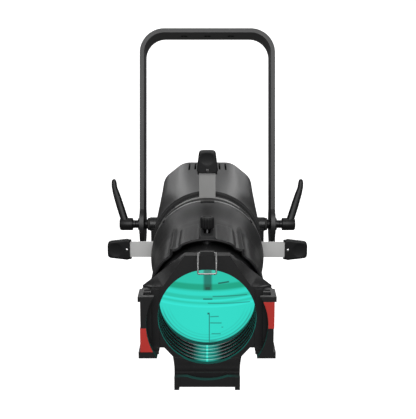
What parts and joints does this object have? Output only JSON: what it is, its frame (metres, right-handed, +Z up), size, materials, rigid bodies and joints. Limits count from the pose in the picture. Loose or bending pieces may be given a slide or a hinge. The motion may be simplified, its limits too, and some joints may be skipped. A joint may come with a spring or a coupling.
{
  "type": "ellipsoidal spotlight",
  "caption": "Hanging LED ellipsoidal spotlight: yoke with tilt clamps, finned LED housing, framing shutters, turning barrel, sliding focus tube and accessory holder.",
  "frame": {"origin": "centre of the clamp hole, on the top face of the yoke's flat bar", "axes": "+Z up along the clamp bolt, -Y the way the light points (12.4 degrees down at rest), +X to the right seen from the front"},
  "size_m": [0.3578, 0.7538, 0.5653],
  "materials": {
    "cast_black": "satin black powder coat",
    "yoke_black": "fine-texture black powder coat",
    "housing_grey": "dark grey powder coat",
    "bare_steel": "brushed",
    "zinc_steel": "zinc plated",
    "moulded_black": "moulded, fine grain",
    "red_plastic": "satin",
    "ring_silver": "turned",
    "fin_aluminium": "mill finish",
    "copper_pipe": "drawn",
    "board_green": "solder mask",
    "lens_glass": "clear, lit turquoise",
    "inner_glass": "clear",
    "window_black": "gloss"
  },
  "bodies": {
    "yoke": {"yoke": "yoke_black", "pivot_spacers": "moulded_black", "friction_discs": "moulded_black"},
    "lamp": {"housing_upper": "housing_grey", "housing_lower": "housing_grey", "front_band": "cast_black", "rear_cover": "housing_grey", "display_window": "window_black", "power_sockets": "moulded_black", "data_sockets": "moulded_black", "fuse_cap": "moulded_black", "pivot_brackets": "cast_black", "safety_eye": "zinc_steel", "heat_sink": "fin_aluminium", "heat_pipes": "copper_pipe", "led_board": "board_green", "mixing_rod": "inner_glass", "engine_tube": "cast_black", "condenser_lens": "inner_glass", "fan_frame": "moulded_black", "power_supply": "zinc_steel", "driver_board": "board_green", "control_board": "board_green", "rear_screws": "zinc_steel"},
    "fan": {"fan_rotor": "moulded_black"},
    "clamp_left": {"lever_left_stud": "zinc_steel", "lever_left": "moulded_black"},
    "clamp_right": {"lever_right_stud": "zinc_steel", "lever_right": "moulded_black"},
    "menu_key": {"button_menu": "moulded_black"},
    "up_key": {"button_up": "moulded_black"},
    "down_key": {"button_down": "moulded_black"},
    "enter_key": {"button_enter": "moulded_black"},
    "barrel": {"gate_ring_rear": "cast_black", "gate_plates": "bare_steel", "gate_ring_front": "cast_black", "trim_ring": "ring_silver", "barrel_upper": "cast_black", "barrel_lower": "cast_black", "slot_cover": "cast_black", "barrel_screws": "zinc_steel"},
    "top_shutter": {"shutter_top": "bare_steel", "shutter_top_handle": "moulded_black"},
    "bottom_shutter": {"shutter_bottom": "bare_steel", "shutter_bottom_handle": "moulded_black"},
    "left_shutter": {"shutter_left": "bare_steel", "shutter_left_handle": "moulded_black"},
    "right_shutter": {"shutter_right": "bare_steel", "shutter_right_handle": "moulded_black"},
    "lens_tube": {"lens_tube_left": "cast_black", "lens_tube_right": "cast_black", "front_lens": "lens_glass", "rear_lens": "inner_glass", "lens_retainers": "cast_black", "baffle_rings": "cast_black", "lip_panels": "red_plastic", "clip_hinge": "cast_black"},
    "clip": {"retaining_clip": "zinc_steel"},
    "knob": {"focus_knob": "moulded_black"}
  },
  "joints": [
    {"name": "tilt", "type": "hinge", "parent": "yoke", "child": "lamp", "pos_m": [0, 0, -0.362], "axis": [1, 0, 0], "range_deg": [-57, 100]},
    {"name": "clamp_left_turn", "type": "hinge", "parent": "lamp", "child": "clamp_left", "pos_m": [-0.13, 0, -0.362], "axis": [1, 0, 0], "continuous": true},
    {"name": "clamp_right_turn", "type": "hinge", "parent": "lamp", "child": "clamp_right", "pos_m": [0.13, 0, -0.362], "axis": [1, 0, 0], "continuous": true},
    {"name": "fan_spin", "type": "hinge", "parent": "lamp", "child": "fan", "pos_m": [0, 0.1172, -0.33623], "axis": [0, -0.9767, -0.2147], "continuous": true},
    {"name": "barrel_turn", "type": "hinge", "parent": "lamp", "child": "barrel", "pos_m": [0, -0.19533, -0.40495], "axis": [0, -0.9767, -0.2147], "range_deg": [-25, 25]},
    {"name": "lens_focus", "type": "slide", "parent": "barrel", "child": "lens_tube", "axis": [0, -0.9767, -0.2147], "range_m": [-0.02, 0.02]},
    {"name": "focus_knob_turn", "type": "hinge", "parent": "lens_tube", "child": "knob", "pos_m": [0, -0.40707, -0.35935], "axis": [0, -0.2147, 0.9767], "range_deg": [-20, 360]},
    {"name": "clip_swing", "type": "hinge", "parent": "lens_tube", "child": "clip", "pos_m": [0, -0.52421, -0.39002], "axis": [1, 0, 0], "range_deg": [-110, 0], "stiffness_Nm_per_rad": 0.03, "springref_deg": 11.46},
    {"name": "top_shutter_push", "type": "slide", "parent": "barrel", "child": "top_shutter", "axis": [0, 0.2147, -0.9767], "range_m": [0, 0.034]},
    {"name": "bottom_shutter_push", "type": "slide", "parent": "barrel", "child": "bottom_shutter", "axis": [0, -0.2147, 0.9767], "range_m": [0, 0.034]},
    {"name": "left_shutter_push", "type": "slide", "parent": "barrel", "child": "left_shutter", "axis": [1, 0, 0], "range_m": [0, 0.034]},
    {"name": "right_shutter_push", "type": "slide", "parent": "barrel", "child": "right_shutter", "axis": [-1, 0, 0], "range_m": [0, 0.034]},
    {"name": "menu_press", "type": "slide", "parent": "lamp", "child": "menu_key", "axis": [0, -0.9767, -0.2147], "range_m": [0, 0.0015], "stiffness_N_per_m": 400},
    {"name": "up_press", "type": "slide", "parent": "lamp", "child": "up_key", "axis": [0, -0.9767, -0.2147], "range_m": [0, 0.0015], "stiffness_N_per_m": 400},
    {"name": "down_press", "type": "slide", "parent": "lamp", "child": "down_key", "axis": [0, -0.9767, -0.2147], "range_m": [0, 0.0015], "stiffness_N_per_m": 400},
    {"name": "enter_press", "type": "slide", "parent": "lamp", "child": "enter_key", "axis": [0, -0.9767, -0.2147], "range_m": [0, 0.0015], "stiffness_N_per_m": 400}
  ]
}
